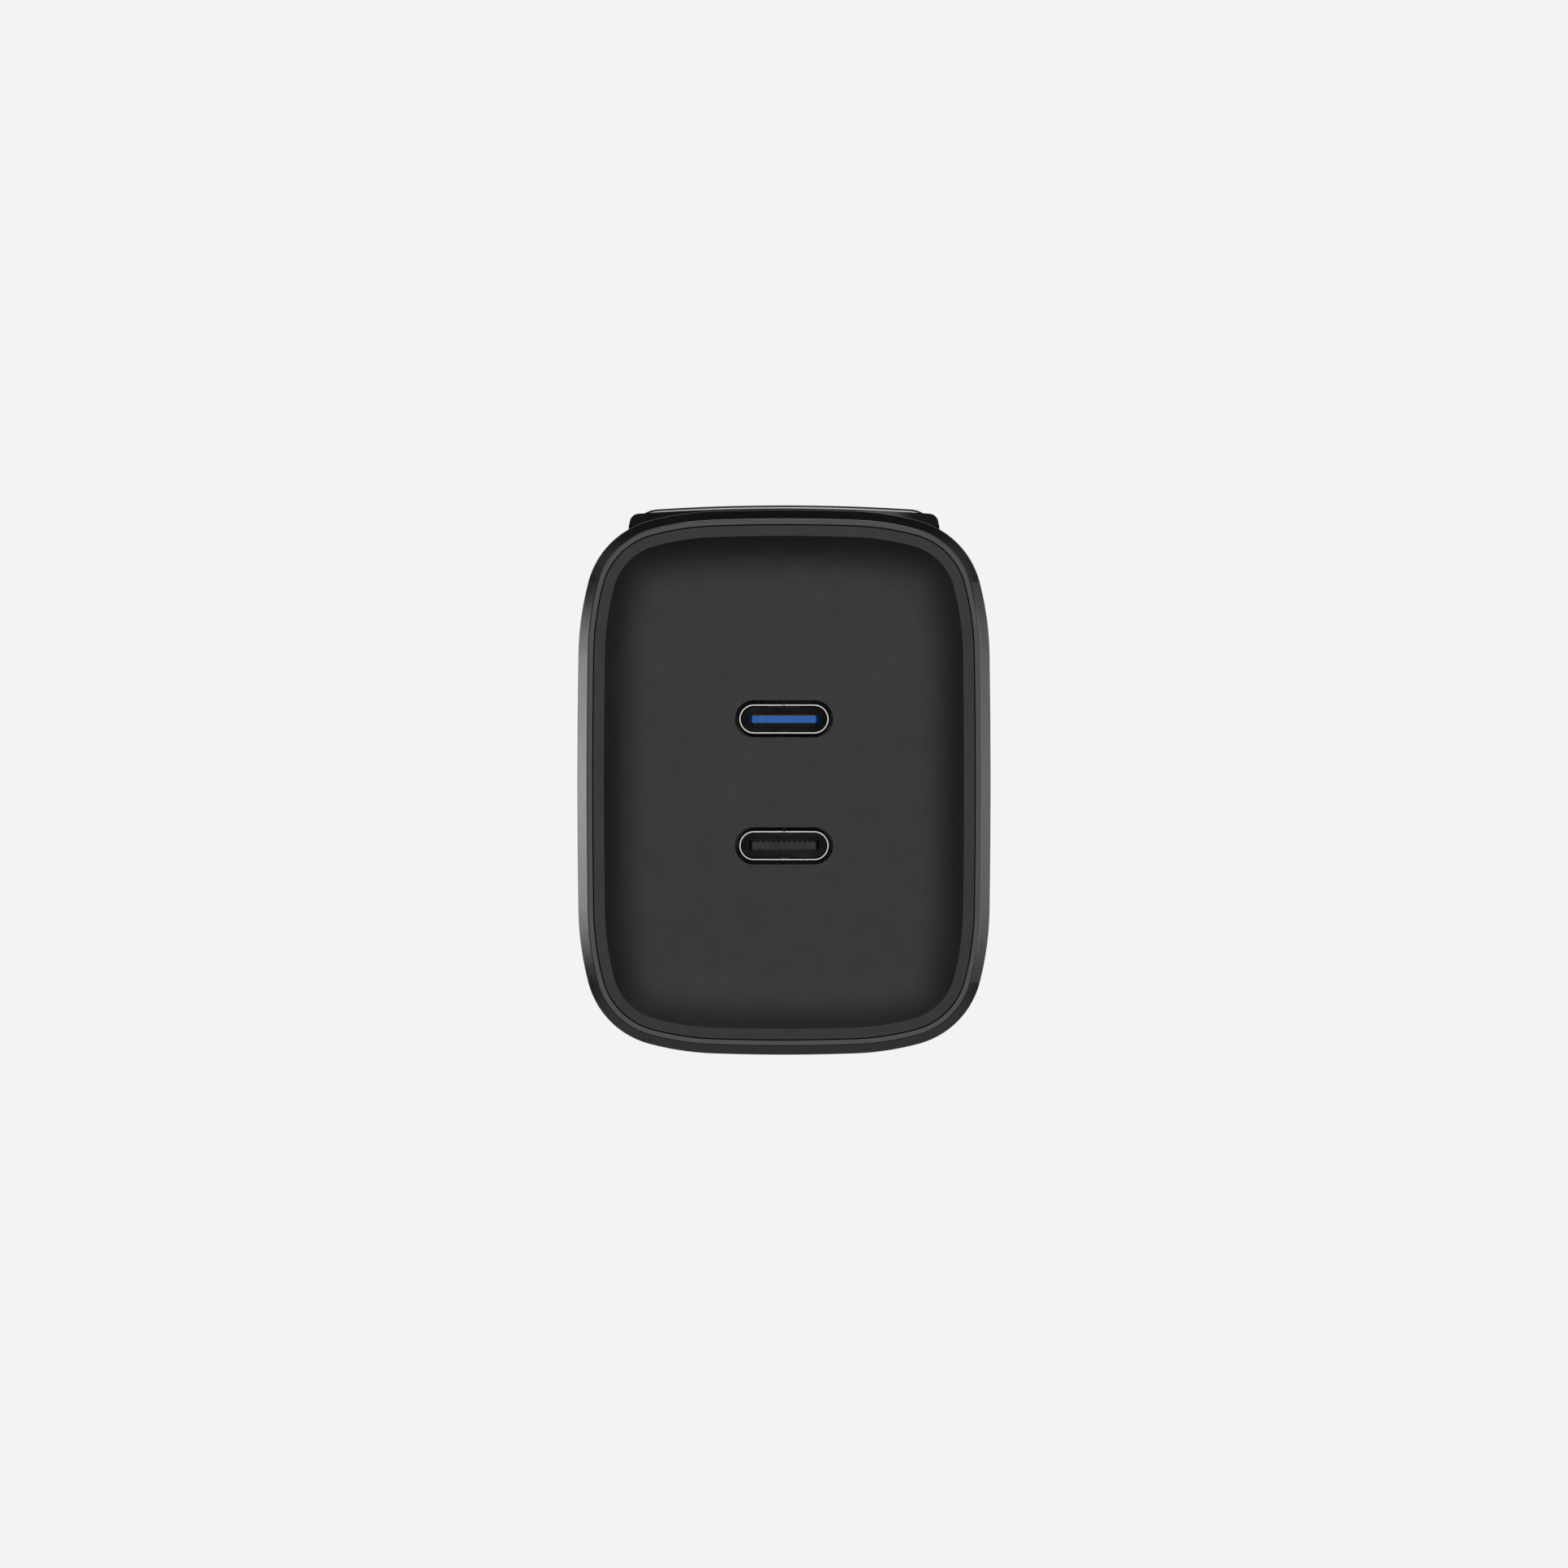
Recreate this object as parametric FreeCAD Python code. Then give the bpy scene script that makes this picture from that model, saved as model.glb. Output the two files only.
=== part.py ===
"""USB wall charger with two USB-C sockets and a slide-on mains plug head.

Millimetres. The origin is the centre of the plug head's engagement face, midway between the pins.
+X is to the right seen from the sockets, +Y points into the wall, +Z is up. The sockets face -Y.
"""

import FreeCAD
import Part
import math
import os

V = FreeCAD.Vector

# ------------------------------------------------------------------ driving dimensions
# Charger body: outline at its widest section, and depths
BODY_WIDTH = 39.9
BODY_HEIGHT = 52.6
BODY_DEPTH = 30.0
BODY_DROP = 15.8            # body centre below the pins
SHOULDER_SIDE_R = 29.8      # the outline's arcs, from the side to the top
CORNER_R = 8.25
SHOULDER_TOP_R = 27.2
OUTLINE_TURNS = (0.9, 14.6, 74.6, 87.9)   # degrees turned where each arc begins

BEVEL_WIDTH = 1.1           # sloping band round the front
BEVEL_DEPTH = 3.2
BEVEL_BLEND_R = 1.2
LIP_WIDTH = 0.5             # flat front edge of the housing
LIP_EDGE_R = 0.12
REAR_DRAFT = 0.3            # how far the body narrows towards the wall
REAR_EDGE_R = 2.2
WALL = 2.3
REAR_WALL = 2.0

# Front panel
PANEL_GAP = 0.13
PANEL_THICKNESS = 3.0
RIM_WIDTH = 1.0
DISH_DEPTH = 1.0
DISH_RUN = 5.4              # how far in the dish's curved wall reaches
SKIRT_DEPTH = 3.0
SKIRT_WALL = 1.2
PANEL_POST_R = 1.3
PANEL_POST_X = 11.0
PANEL_POST_Z = 17.5

# USB-C sockets
PORT_PITCH = 12.15
PORT_WINDOW = (9.39, 3.60)
SHELL_INSIDE = (8.34, 2.56)
SHELL_SHEET = 0.3
SHELL_SET_BACK = 0.3
SHELL_LENGTH = 8.1
SHELL_SEAM = 0.1
SHELL_LEG_WIDTH = 0.9
SHELL_LEG_TAIL = 0.4
CEILING_PAD = (2.94, 0.10)  # width and height of the pressed pad in the shell's roof
FLOOR_PAD = (0.76, 0.14)    # and of the one in its floor
PAD_LENGTH = 1.2
PAD_SET_BACK = 1.0
TONGUE_TIP = (6.15, 0.7)    # width and thickness at the tip
TONGUE = (6.75, 0.82)       # and behind its lead-in
TONGUE_LEAD_IN = 0.5
TONGUE_SET_BACK = 0.8
TONGUE_ROOT = (7.3, 1.3, 1.2)   # width, thickness and length of the step at its root
SOCKET_BASE_LENGTH = 2.0
SOCKET_FIT = 0.02
CONTACT_COUNT = 12
CONTACT_PITCH = 0.5
CONTACT_WIDTH = 0.26
CONTACT_THICKNESS = 0.05
CONTACT_PROUD = 0.01        # above the tongue's face
CONTACT_SET_BACK = 0.55
MID_PLATE_THICKNESS = 0.15
MID_PLATE_WIDTH = 5.6

# Boards
PORT_BOARD_THICKNESS = 1.0
MAIN_BOARD_THICKNESS = 1.2
BOARD_INSET = 3.9
BOARD_GAP = 0.5             # between the sockets and the port board

# Dock in the back of the body, and the plate that slides in it
DOCK_LIP = 1.2
CHANNEL_HALF = 16.25
CHANNEL_DEPTH = 2.3
DOCK_LIP_REACH = 1.95       # how far the dock's lips reach in over the plate
SLIDE_FIT = 0.2
PLATE_BOTTOM = 19.0         # below the pins
TRAY_FLOOR = 1.6
TRAY_BOTTOM = 39.0
TRAY_FIT = 0.15
GRIP_RISE = 1.85            # above the body's top
GRIP_DRAFT = 10.0           # degrees
GRIP_CORNER_R = 0.95
GRIP_CROWN = 0.42
GRIP_BEVEL_HEIGHT = 1.6     # the grip's front leans back above this far below its top
GRIP_BEVEL = 24.0           # degrees
GRIP_END_R = 30.0           # the grip's front curves back towards its ends
GRIP_END_RUN = 8.5
GRIP_END_FROM = 6.0         # above the pins

# Boss of the plug head
BOSS_DEPTH = 17.5
BOSS_GAP = 0.2
BOSS_HALF_WIDTH = 17.65
BOSS_HALF_HEIGHT = 13.07
BOSS_RADII = (4.0, 14.0, 3.0)
BOSS_TURNS = (3.0, 30.0, 42.0, 86.4)
BOSS_TAPER = 0.45
BOSS_FRONT_R = 0.9
BOSS_FACE_R = 1.2
BOSS_WALL = 1.4
BOSS_END_WALL = 3.2
SPIGOT_LENGTH = 2.4
SPIGOT_WALL = 0.9

# Mains pins
PIN_HALF_SPACING = 9.5
PIN_R = 2.0
PIN_LENGTH = 19.0
PIN_TIP_R = 1.4
PIN_CORE_R = 1.5
SLEEVE_R = 1.8
SLEEVE_LENGTH = 10.0
PIN_TAIL = 3.0              # behind the boss's end wall
COLLAR_R = 2.4
COLLAR_LENGTH = 1.6

# Contacts between the body and the plug head
STRAP_WIDTH = 4.0
STRAP_SHEET = 0.6
PAD_HALF_HEIGHT = 3.0
PAD_REACH = 3.4
SPRING_SHEET = 0.4
SPRING_CLEARANCE = 0.1
SPRING_CREST = 1.2
SPRING_HALF_WIDTH = 1.5
SPRING_ROOM = 0.6

# Release button and its leaf spring
BUTTON_SIZE = (11.0, 5.0)
BUTTON_Z = 25.0             # below the pins
BUTTON_PROUD = 0.5
BUTTON_FIT = 0.15
BUTTON_TRAVEL = 1.2
BUTTON_FLANGE = 0.8
BUTTON_FLANGE_THICKNESS = 0.8
BUTTON_STEM = (2.0, 1.2)
BUTTON_EDGE_R = 0.4
BUTTON_RIBS = 3
BUTTON_RIB = (6.0, 0.5, 0.3)
LEAF_HALF_WIDTH = 2.5
LEAF_SHEET = 0.3
LEAF_FOOT_Z = 37.5
LEAF_GRIP = 1.5             # how much of the foot the dock holds
HOOK_TOP = 15.6
HOOK_HEIGHT = 1.6
HOOK_DEPTH = 1.1
HOOK_CLEARANCE = 0.25

# Parts on the boards: (x, height above the body's centre) and sizes
TRANSFORMER_AT = (-1.5, -6.0)
TRANSFORMER_CORE = (15.0, 12.5, 10.6)
TRANSFORMER_LEG_R = 3.6
TRANSFORMER_YOKE = 2.2
TRANSFORMER_OUTER_LEG = 1.9
BOBBIN_WALL = 0.5
WINDING_SLACK = 0.3
BULK_R = 4.0
BULK_LENGTH = 14.0
BULK_AT = ((11.6, -10.4), (11.6, 4.8))
BULK_CRIMP = 0.25
BULK_CRIMP_AT = 2.0
CHOKE_AT = (-10.2, 6.5)
CHOKE_R = (2.6, 5.0)
CHOKE_HEIGHT = 4.6
CHOKE_WIRE = 0.55
X_CAP_AT = (0.8, 12.8)
X_CAP_SIZE = (8.0, 5.0, 8.0)
Y_CAP_AT = (5.2, 6.6)
Y_CAP_R = 2.8
Y_CAP_THICKNESS = 2.4
FUSE_AT = (0.0, 20.6)
FUSE_R = 1.7
FUSE_TUBE_R = 1.55
FUSE_LENGTH = 8.4
FUSE_CAP = 1.6
VARISTOR_AT = (-1.8, 8.3)
VARISTOR_SIZE = (5.0, 1.8, 5.5)
BRIDGE_AT = (5.4, 16.9)
BRIDGE_SIZE = (5.4, 3.2, 1.6)
SWITCH_AT = (-12.0, -2.9)
SWITCH_SIZE = (4.4, 6.0, 1.0)
OPTO_AT = (-12.0, -9.0)
OPTO_SIZE = (4.4, 3.6, 2.0)
OUT_CAP_R = 3.15
OUT_CAP_HEIGHT = 7.0
OUT_CAP_AT = ((-11.0, -15.8), (-4.0, -15.8), (3.0, -15.8))
LINK_PINS = 6
LINK_PITCH = 2.0
LINK_PIN = 0.64
LINK_Z = -20.9
LINK_TAIL = 0.9
HEADER_HEIGHT = 2.5
INDUCTOR_SIZE = (6.0, 6.0, 2.8)
INDUCTOR_AT = ((-11.0, 15.0), (11.6, 0.0))
CHIP_SIZE = (4.0, 4.0, 0.9)
CHIP_AT = ((-9.6, 5.0), (9.6, -6.0))
CERAMIC_SIZE = (1.6, 0.8, 0.9)
CERAMIC_ROW = 5
CERAMIC_PITCH = 2.4
CERAMIC_ROWS_Z = (13.0, -13.2)
SPREADER_INSET = 2.85
SPREADER_SHEET = 0.8
SPREADER_HALF_HEIGHT = 15.0
SPREADER_MARGIN = 1.0
FILM_INSET = 2.4
FILM_SHEET = 0.2
FILM_MARGIN = 0.5
STANDOFF_R = 1.2
STANDOFF_AT = ((-12.0, -19.5), (12.0, -19.5), (-13.6, 15.0), (13.6, 15.0))

# ------------------------------------------------------------------ places that follow
REAR_Y = -BOSS_DEPTH
FRONT_Y = REAR_Y - BODY_DEPTH
BODY_Z = -BODY_DROP
GRIP_TOP = BODY_Z + BODY_HEIGHT / 2 + GRIP_RISE
DISH_FLOOR_Y = FRONT_Y + DISH_DEPTH
PANEL_BACK_Y = FRONT_Y + PANEL_THICKNESS
REAR_INSIDE_Y = REAR_Y - REAR_WALL
NECK_HALF = CHANNEL_HALF - DOCK_LIP_REACH
CHANNEL_BACK_Y = REAR_Y - DOCK_LIP
CHANNEL_FLOOR_Y = CHANNEL_BACK_Y - CHANNEL_DEPTH
TRAY_FRONT_Y = CHANNEL_FLOOR_Y - TRAY_FLOOR
LEAF_BACK_Y = CHANNEL_FLOOR_Y - LEAF_SHEET
MAIN_BOARD_BACK_Y = TRAY_FRONT_Y - BUTTON_TRAVEL
MAIN_BOARD_FRONT_Y = MAIN_BOARD_BACK_Y - MAIN_BOARD_THICKNESS
SHELL_FRONT_Y = DISH_FLOOR_Y + SHELL_SET_BACK
SHELL_BACK_Y = SHELL_FRONT_Y + SHELL_LENGTH
PORT_BOARD_FRONT_Y = SHELL_BACK_Y + BOARD_GAP
PORT_BOARD_BACK_Y = PORT_BOARD_FRONT_Y + PORT_BOARD_THICKNESS
PLATE_FRONT_Y = CHANNEL_FLOOR_Y + SLIDE_FIT
PLATE_BACK_Y = CHANNEL_BACK_Y - SLIDE_FIT
BOSS_FRONT_Y = REAR_Y + BOSS_GAP
MOUTH_INSET = BEVEL_WIDTH + LIP_WIDTH
PANEL_INSET = MOUTH_INSET + PANEL_GAP
PORTS = {"upper": BODY_Z + PORT_PITCH / 2, "lower": BODY_Z - PORT_PITCH / 2}
SIDES = {"left": -1, "right": 1}


# ------------------------------------------------------------------ plain shapes
def box(x0, x1, y0, y1, z0, z1):
    return Part.makeBox(x1 - x0, y1 - y0, z1 - z0, V(x0, y0, z0))


def block(x, z, size, y_back, up=-1):
    """A block of size (x, z, y) centred on x, z, standing on the plane y_back towards -Y."""
    y0, y1 = sorted((y_back, y_back + up * size[2]))
    return box(x - size[0] / 2, x + size[0] / 2, y0, y1, z - size[1] / 2, z + size[1] / 2)


def rod(x, z, radius, y0, y1):
    return Part.makeCylinder(radius, y1 - y0, V(x, y0, z), V(0, 1, 0))


def stadium(width, height, z, y0, y1, x=0.0):
    """A prism along Y whose section is a slot with round ends."""
    radius = height / 2
    reach = width / 2 - radius
    middle = box(x - reach, x + reach, y0, y1, z - radius, z + radius)
    ends = [rod(end, z, radius, y0, y1) for end in (x - reach, x + reach)]
    return middle.fuse(ends).removeSplitter()


def rectangle(width, height, z, y):
    """A closed rectangular wire across Y, centred on x = 0."""
    x, up = width / 2, height / 2
    corners = [(-x, -up), (x, -up), (x, up), (-x, up), (-x, -up)]
    return Part.makePolygon([V(i, y, z + j) for i, j in corners])


def at_body(point):
    """Turns (x, height above the body's centre) into (x, z)."""
    return point[0], BODY_Z + point[1]


def one(shapes):
    """Several separate solids as one shape."""
    return Part.makeCompound(shapes)


# ------------------------------------------------------------------ outlines of tangent arcs
class Outline:
    """A closed curve of tangent arcs, the same left and right and above and below its centre.

    radii are those of the side shoulder, the corner and the top shoulder, and turns the angles at
    which the first shoulder, the corner, the second shoulder and the top arc begin. The side and
    top arcs get the radii that make the curve as wide and as high as asked.
    """

    def __init__(self, half_width, half_height, radii, turns, centre_z):
        a = [0.0] + [math.radians(t) for t in turns] + [math.pi / 2]
        across = [math.cos(a[i]) - math.cos(a[i + 1]) for i in range(5)]
        along = [math.sin(a[i + 1]) - math.sin(a[i]) for i in range(5)]
        wide = half_width - sum(r * across[i + 1] for i, r in enumerate(radii))
        high = half_height - sum(r * along[i + 1] for i, r in enumerate(radii))
        det = across[0] * along[4] - across[4] * along[0]
        side = (wide * along[4] - high * across[4]) / det
        top = (across[0] * high - along[0] * wide) / det
        self.z = centre_z
        self.arcs = self._all_arcs([side, *radii, top], a, half_width)

    @staticmethod
    def _all_arcs(radii, a, half_width):
        """(centre x, centre z, radius, first angle, last angle) of every arc, anticlockwise."""
        x, z = half_width - radii[0], 0.0
        quarter = []
        for i, r in enumerate(radii):
            quarter.append((x, z, r, a[i], a[i + 1]))
            if i < 4:
                x += (r - radii[i + 1]) * math.cos(a[i + 1])
                z += (r - radii[i + 1]) * math.sin(a[i + 1])
        side, bends, top = quarter[0], quarter[1:4], quarter[4]
        turn = math.pi
        arcs = [(side[0], 0.0, side[2], -side[4], side[4])]
        arcs += bends
        arcs += [(0.0, top[1], top[2], top[3], turn - top[3])]
        arcs += [(-x, z, r, turn - b, turn - s) for x, z, r, s, b in reversed(bends)]
        arcs += [(-side[0], 0.0, side[2], turn - side[4], turn + side[4])]
        arcs += [(-x, -z, r, turn + s, turn + b) for x, z, r, s, b in bends]
        arcs += [(0.0, -top[1], top[2], turn + top[3], 2 * turn - top[3])]
        arcs += [(x, -z, r, 2 * turn - b, 2 * turn - s) for x, z, r, s, b in reversed(bends)]
        return arcs

    def wire(self, inset, y):
        edges = []
        for x, z, r, start, end in self.arcs:
            points = [
                V(x + (r - inset) * math.cos(t), y, self.z + z + (r - inset) * math.sin(t))
                for t in (start, (start + end) / 2, end)
            ]
            edges.append(Part.Arc(*points).toShape())
        return Part.Wire(edges)

    def prism(self, inset, y0, y1):
        return Part.Face(self.wire(inset, y0)).extrude(V(0, y1 - y0, 0))

    def loft(self, sections, ruled=True):
        """A solid through (inset, y) sections."""
        return Part.makeLoft([self.wire(*s) for s in sections], True, ruled)

    def ring(self, outer, inner, y0, y1):
        return self.prism(outer, y0, y1).cut(self.prism(inner, y0, y1))


BODY = Outline(
    BODY_WIDTH / 2, BODY_HEIGHT / 2,
    (SHOULDER_SIDE_R, CORNER_R, SHOULDER_TOP_R), OUTLINE_TURNS, BODY_Z,
)
BOSS = Outline(BOSS_HALF_WIDTH, BOSS_HALF_HEIGHT, BOSS_RADII, BOSS_TURNS, 0.0)


def edges_at(shape, y, reach=0.01):
    """The edges of a shape that lie in the plane y."""
    return [e for e in shape.Edges if abs(e.BoundBox.YMin - y) < reach and abs(e.BoundBox.YMax - y) < reach]


# ------------------------------------------------------------------ body casings
def housing():
    bevel_y = FRONT_Y + BEVEL_DEPTH
    outside = BODY.loft([(BEVEL_WIDTH, FRONT_Y), (0.0, bevel_y)])
    outside = outside.fuse(BODY.loft([(0.0, bevel_y), (REAR_DRAFT, REAR_Y)])).removeSplitter()
    outside = outside.makeFillet(BEVEL_BLEND_R, edges_at(outside, bevel_y))
    outside = outside.makeFillet(REAR_EDGE_R, edges_at(outside, REAR_Y))
    outside = outside.makeFillet(LIP_EDGE_R, edges_at(outside, FRONT_Y))
    mouth = BODY.prism(MOUTH_INSET, FRONT_Y, PANEL_BACK_Y)
    cavity = BODY.prism(WALL, PANEL_BACK_Y, REAR_INSIDE_Y)
    top = BODY_Z + BODY_HEIGHT
    bottom = -PLATE_BOTTOM - SLIDE_FIT
    channel = box(-CHANNEL_HALF, CHANNEL_HALF, CHANNEL_FLOOR_Y, CHANNEL_BACK_Y, bottom, top)
    neck = box(-NECK_HALF, NECK_HALF, CHANNEL_BACK_Y, REAR_Y, bottom, top)
    window = button_outline(BUTTON_FIT, REAR_INSIDE_Y, REAR_Y)
    return outside.cut([mouth, cavity, channel, neck, window])


def front_panel():
    slab = BODY.prism(PANEL_INSET, FRONT_Y, PANEL_BACK_Y)
    steps = 7
    radius = (DISH_RUN**2 + DISH_DEPTH**2) / (2 * DISH_DEPTH)
    rim = PANEL_INSET + RIM_WIDTH
    sections = []
    for i in range(steps):
        run = DISH_RUN * (1 - i / (steps - 1))
        rise = radius - math.sqrt(radius**2 - run**2)
        sections.append((rim + DISH_RUN - run, DISH_FLOOR_Y - rise))
    dish = BODY.loft(sections, ruled=False)
    skirt_y = PANEL_BACK_Y + SKIRT_DEPTH
    skirt_inset = WALL + TRAY_FIT
    skirt = BODY.ring(skirt_inset, skirt_inset + SKIRT_WALL, PANEL_BACK_Y, skirt_y)
    posts = [
        rod(sx * PANEL_POST_X, BODY_Z + sz * PANEL_POST_Z, PANEL_POST_R, PANEL_BACK_Y, PORT_BOARD_FRONT_Y)
        for sx in (-1, 1) for sz in (-1, 1)
    ]
    windows = [stadium(*PORT_WINDOW, z, FRONT_Y, PANEL_BACK_Y) for z in PORTS.values()]
    return slab.cut(dish).fuse([skirt, *posts]).removeSplitter().cut(windows)


def rear_dock():
    """The tray behind the housing's rear opening. It closes the channel that the plate slides in."""
    tray = box(-BODY_WIDTH, BODY_WIDTH, TRAY_FRONT_Y, CHANNEL_FLOOR_Y, -TRAY_BOTTOM, BODY_HEIGHT)
    walls = box(-BODY_WIDTH, BODY_WIDTH, CHANNEL_FLOOR_Y, REAR_INSIDE_Y, -TRAY_BOTTOM, BODY_HEIGHT)
    tray = tray.fuse(walls).common(BODY.prism(WALL + TRAY_FIT, TRAY_FRONT_Y, REAR_INSIDE_Y))
    channel = box(
        -CHANNEL_HALF, CHANNEL_HALF, CHANNEL_FLOOR_Y, REAR_INSIDE_Y, -PLATE_BOTTOM - SLIDE_FIT, BODY_HEIGHT
    )
    button_room = button_outline(BUTTON_FLANGE + BUTTON_FIT, TRAY_FRONT_Y, REAR_INSIDE_Y)
    leaf_half = LEAF_HALF_WIDTH + HOOK_CLEARANCE
    leaf_top = 2 * HOOK_CLEARANCE - HOOK_TOP
    leaf_room = box(-leaf_half, leaf_half, TRAY_FRONT_Y, REAR_INSIDE_Y, LEAF_GRIP - LEAF_FOOT_Z, leaf_top)
    slot_half = SPRING_HALF_WIDTH + SPRING_ROOM
    slot_height = PAD_HALF_HEIGHT + SPRING_ROOM
    slots = [
        box(x - slot_half, x + slot_half, TRAY_FRONT_Y, CHANNEL_FLOOR_Y, -slot_height, slot_height)
        for x in (-PIN_HALF_SPACING, PIN_HALF_SPACING)
    ]
    standoffs = [rod(*at_body(p), STANDOFF_R, MAIN_BOARD_BACK_Y, TRAY_FRONT_Y) for p in STANDOFF_AT]
    tray = tray.cut([channel, button_room, leaf_room, latch_spring(), *slots])
    return tray.fuse(standoffs).removeSplitter()


# ------------------------------------------------------------------ release button
def button_outline(grow, y0, y1):
    return stadium(BUTTON_SIZE[0] + 2 * grow, BUTTON_SIZE[1] + 2 * grow, -BUTTON_Z, y0, y1)


def release_button():
    face_y = REAR_Y + BUTTON_PROUD
    flange_back = REAR_INSIDE_Y - BUTTON_FIT
    flange_front = flange_back - BUTTON_FLANGE_THICKNESS
    cap = button_outline(0.0, flange_front, face_y)
    cap = cap.makeFillet(BUTTON_EDGE_R, edges_at(cap, face_y))
    flange = button_outline(BUTTON_FLANGE, flange_front, flange_back)
    half_x, half_z = BUTTON_STEM
    stem = box(-half_x, half_x, LEAF_BACK_Y, flange_back, -BUTTON_Z - half_z, -BUTTON_Z + half_z)
    width, height, depth = BUTTON_RIB
    middle = (BUTTON_RIBS - 1) / 2
    grooves = [
        stadium(width, height, -BUTTON_Z + (i - middle) * 3 * height, face_y - depth, face_y)
        for i in range(BUTTON_RIBS)
    ]
    return cap.fuse([flange, stem]).removeSplitter().cut(grooves)


def latch_spring():
    """A leaf fixed at its foot, which the button bends, with a hook that holds the plate down."""
    y1 = LEAF_BACK_Y
    y0 = y1 - LEAF_SHEET
    leaf = box(-LEAF_HALF_WIDTH, LEAF_HALF_WIDTH, y0, y1, -LEAF_FOOT_Z, -HOOK_TOP)
    profile = Part.makePolygon([
        V(0, y1, -HOOK_TOP), V(0, PLATE_FRONT_Y + HOOK_DEPTH, -HOOK_TOP),
        V(0, y1, -HOOK_TOP - HOOK_HEIGHT), V(0, y1, -HOOK_TOP),
    ])
    hook = Part.Face(profile).extrude(V(2 * LEAF_HALF_WIDTH, 0, 0))
    hook.translate(V(-LEAF_HALF_WIDTH, 0, 0))
    return leaf.fuse(hook).removeSplitter()


# ------------------------------------------------------------------ plug head
def grip(half, y0, y1, z0):
    """The plate's upper end: crowned on top, its ends leaning in, its corners round."""
    lean = math.tan(math.radians(GRIP_DRAFT))
    shoulder = BODY_Z + BODY_HEIGHT / 2
    side_top = GRIP_TOP - GRIP_CROWN
    inner = half - lean * (side_top - shoulder)
    left = [V(-half, y0, z0), V(-half, y0, shoulder), V(-inner, y0, side_top)]
    right = [V(inner, y0, side_top), V(half, y0, shoulder), V(half, y0, z0), left[0]]
    crown = Part.Arc(left[-1], V(0, y0, GRIP_TOP), right[0]).toShape()
    edges = [*Part.makePolygon(left).Edges, crown, *Part.makePolygon(right).Edges]
    solid = Part.Face(Part.Wire(edges)).extrude(V(0, y1 - y0, 0))
    corners = [
        e for e in solid.Edges
        if e.BoundBox.YLength > y1 - y0 - 0.01 and abs(e.BoundBox.ZMin - side_top) < 0.01
    ]
    return solid.makeFillet(GRIP_CORNER_R, corners)


def grip_front(half, side):
    """What is cut away on one side, where the grip's front leans back and curves away to its end."""
    start = side * (half - GRIP_END_RUN)
    set_back = GRIP_BEVEL_HEIGHT * math.tan(math.radians(GRIP_BEVEL))
    foot = GRIP_TOP - GRIP_BEVEL_HEIGHT
    x0, x1 = sorted((0, side * (half + GRIP_END_RUN)))
    centre = PLATE_FRONT_Y + GRIP_END_R
    up = V(0, 0, 1)
    drum = Part.makeCylinder(GRIP_END_R, foot, V(start, centre, 0), up)
    top_r = GRIP_END_R - set_back
    cone = Part.makeCone(GRIP_END_R, top_r, GRIP_BEVEL_HEIGHT, V(start, centre, foot), up)
    leaning = [
        V(0, PLATE_FRONT_Y, foot), V(0, PLATE_FRONT_Y + set_back, GRIP_TOP),
        V(0, centre, GRIP_TOP), V(0, centre, 0), V(0, PLATE_FRONT_Y, 0), V(0, PLATE_FRONT_Y, foot),
    ]
    middle = Part.Face(Part.makePolygon(leaning)).extrude(V(start, 0, 0))
    corner = box(x0, x1, PLATE_FRONT_Y, PLATE_BACK_Y, GRIP_END_FROM, GRIP_TOP)
    return corner.cut([drum, cone, middle])


def plug_base():
    """The sliding plate, its neck between the dock's lips and the spigot that carries the boss."""
    half = CHANNEL_HALF - SLIDE_FIT
    plate = grip(half, PLATE_FRONT_Y, PLATE_BACK_Y, -PLATE_BOTTOM)
    plate = plate.cut([grip_front(half, s) for s in SIDES.values()])
    neck = grip(NECK_HALF - SLIDE_FIT, PLATE_BACK_Y, BOSS_FRONT_Y, -PLATE_BOTTOM)
    spigot_inset = BOSS_WALL + SOCKET_FIT
    spigot = BOSS.ring(spigot_inset, spigot_inset + SPIGOT_WALL, BOSS_FRONT_Y, BOSS_FRONT_Y + SPIGOT_LENGTH)
    notch = box(
        -LEAF_HALF_WIDTH - HOOK_CLEARANCE, LEAF_HALF_WIDTH + HOOK_CLEARANCE,
        PLATE_FRONT_Y, PLATE_FRONT_Y + HOOK_DEPTH + HOOK_CLEARANCE,
        -HOOK_TOP - HOOK_HEIGHT - 2 * HOOK_CLEARANCE, -HOOK_TOP + HOOK_CLEARANCE,
    )
    straps = [head_contact(s) for s in SIDES.values()]
    return plate.fuse([neck, spigot]).removeSplitter().cut([notch, *straps])


def plug_boss():
    """The part that enters the wall socket: a tapered cup with the pins through its end wall."""
    outside = BOSS.loft([(0.0, BOSS_FRONT_Y), (BOSS_TAPER, 0.0)])
    outside = outside.makeFillet(BOSS_FRONT_R, edges_at(outside, BOSS_FRONT_Y))
    outside = outside.makeFillet(BOSS_FACE_R, edges_at(outside, 0.0))
    inside = BOSS.prism(BOSS_WALL, BOSS_FRONT_Y, -BOSS_END_WALL)
    holes = [rod(s * PIN_HALF_SPACING, 0, SLEEVE_R, -BOSS_END_WALL, 0) for s in SIDES.values()]
    return outside.cut([inside, *holes])


def pin(side):
    x = side * PIN_HALF_SPACING
    bare = rod(x, 0, PIN_R, SLEEVE_LENGTH, PIN_LENGTH)
    bare = bare.makeFillet(PIN_TIP_R, edges_at(bare, PIN_LENGTH))
    core = rod(x, 0, PIN_CORE_R, -BOSS_END_WALL - PIN_TAIL, SLEEVE_LENGTH)
    collar = rod(x, 0, COLLAR_R, -BOSS_END_WALL - COLLAR_LENGTH, -BOSS_END_WALL)
    return bare.fuse([core, collar]).removeSplitter()


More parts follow.
